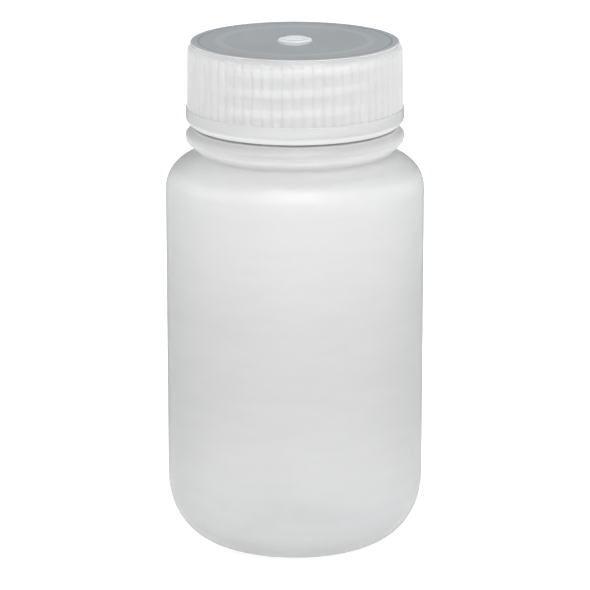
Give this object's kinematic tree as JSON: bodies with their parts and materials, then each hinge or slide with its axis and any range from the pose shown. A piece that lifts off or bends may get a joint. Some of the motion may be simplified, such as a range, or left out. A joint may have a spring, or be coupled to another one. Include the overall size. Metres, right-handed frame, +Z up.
{
  "type": "reagent bottle",
  "caption": "Wide-mouth round plastic reagent bottle with a ribbed screw cap and a plug-seal insert.",
  "frame": {"origin": "centre of the standing plane under the base ring", "axes": "+Z up along the bottle's axis, through the mouth and the cap; the front of the bottle faces -Y"},
  "size_m": [0.052, 0.052, 0.104],
  "materials": {
    "bottle_shell": "translucent natural polypropylene, smooth satin to gloss",
    "cap_shell": "translucent natural polypropylene, moulded, satin skirt and glossy deck",
    "insert": "translucent natural polyethylene, satin"
  },
  "bodies": {
    "bottle": {"bottle": "bottle_shell"},
    "insert": {"seal_insert": "insert"},
    "cap": {"screw_cap": "cap_shell"}
  },
  "joints": [
    {"name": "insert_rise", "type": "slide", "parent": "bottle", "child": "insert", "axis": [0, 0, 1], "range_m": [0, 0.0085]},
    {"name": "cap_turn", "type": "hinge", "parent": "insert", "child": "cap", "pos_m": [0, 0, 0.0949], "axis": [0, 0, 1], "range_deg": [0, 765]}
  ],
  "couplings": [
    {"joint": "insert_rise", "follows": "cap_turn", "m_per_rad": 0.00063661}
  ]
}
